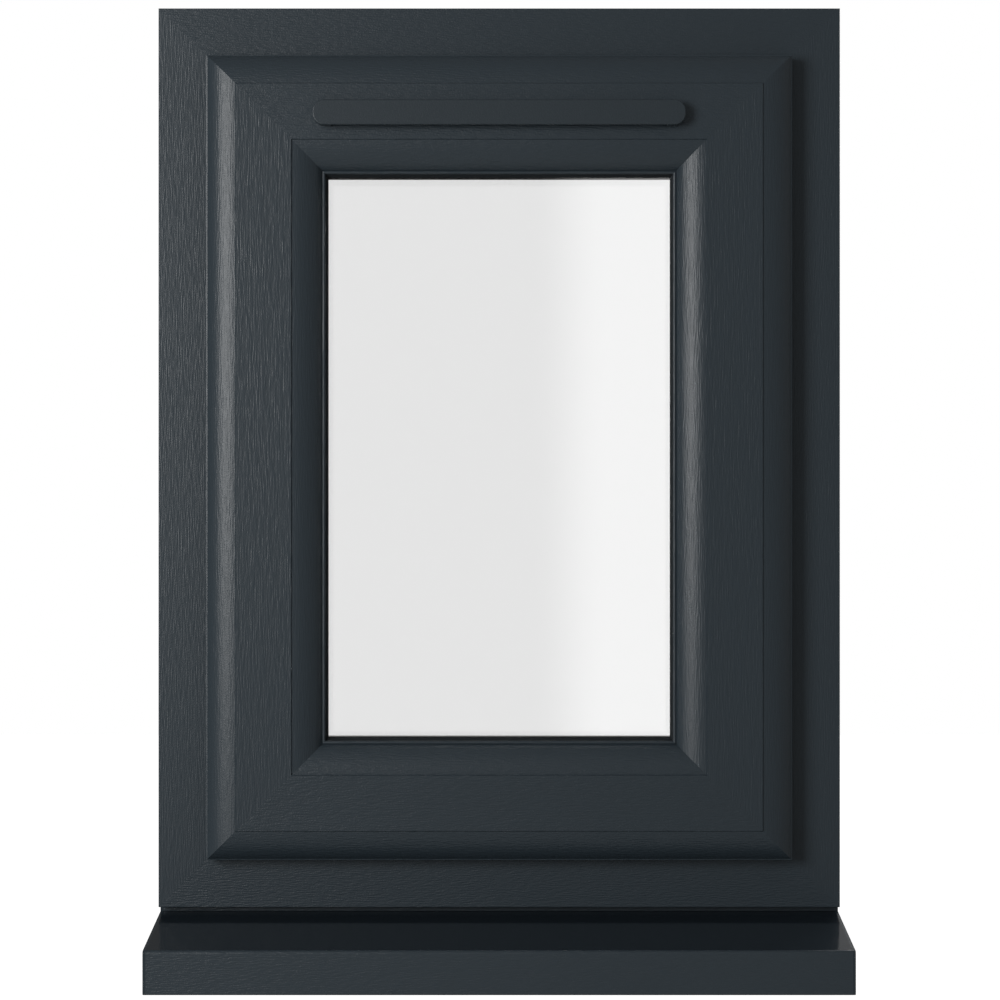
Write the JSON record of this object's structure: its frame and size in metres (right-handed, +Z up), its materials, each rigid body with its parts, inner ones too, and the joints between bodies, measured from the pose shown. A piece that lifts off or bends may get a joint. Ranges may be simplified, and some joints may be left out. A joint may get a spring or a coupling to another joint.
{
  "type": "top-hung window",
  "caption": "Small top-hung casement window with moulded frame and sash, double glazing, a trickle vent in the top rail and a projecting sill.",
  "frame": {"origin": "middle of the sill's flat underside, below the outer frame's outside face", "axes": "+Z up, +X to the right seen from outside, +Y from outside into the room"},
  "size_m": [0.47, 0.152, 0.6655],
  "materials": {
    "frame_foil": "satin woodgrain foil, anthracite grey",
    "sash_foil": "satin woodgrain foil, anthracite grey",
    "bead_foil": "satin woodgrain foil, anthracite grey",
    "sill_foil": "smooth glossy foil on the slope, woodgrain foil on the nose",
    "sill_cap_plastic": "satin moulded",
    "vent_plastic": "satin moulded",
    "gasket_rubber": "matt",
    "packer_plastic": "plain moulded",
    "clear_glass": "clear float",
    "spacer_composite": "black warm-edge composite, matt",
    "handle_metal": "satin powder coat",
    "lock_button_metal": "satin",
    "stay_steel": "satin",
    "lock_steel": "zinc plated"
  },
  "bodies": {
    "root": {"frame_head": "frame_foil", "frame_left_jamb": "frame_foil", "frame_right_jamb": "frame_foil", "frame_bottom_rail": "frame_foil", "sash_top_rail": "sash_foil", "sash_bottom_rail": "sash_foil", "sash_left_stile": "sash_foil", "sash_right_stile": "sash_foil", "glazing_bead_top": "bead_foil", "glazing_bead_bottom": "bead_foil", "glazing_bead_left": "bead_foil", "glazing_bead_right": "bead_foil", "glass_outer_pane": "clear_glass", "glass_inner_pane": "clear_glass", "glass_spacer_bar": "spacer_composite", "outer_glazing_gasket": "gasket_rubber", "inner_glazing_gasket": "gasket_rubber", "sash_weatherseal": "gasket_rubber", "frame_weatherseal": "gasket_rubber", "glazing_packers": "packer_plastic", "vent_canopy": "vent_plastic", "vent_inner_body": "vent_plastic", "vent_inner_flap": "vent_plastic", "window_sill": "sill_foil", "sill_end_cap_left": "sill_cap_plastic", "sill_end_cap_right": "sill_cap_plastic", "handle_base": "handle_metal", "handle_lever": "handle_metal", "handle_lock_button": "lock_button_metal", "friction_stay_left": "stay_steel", "friction_stay_right": "stay_steel", "lock_bar": "lock_steel", "lock_keeps": "lock_steel"}
  },
  "joints": []
}
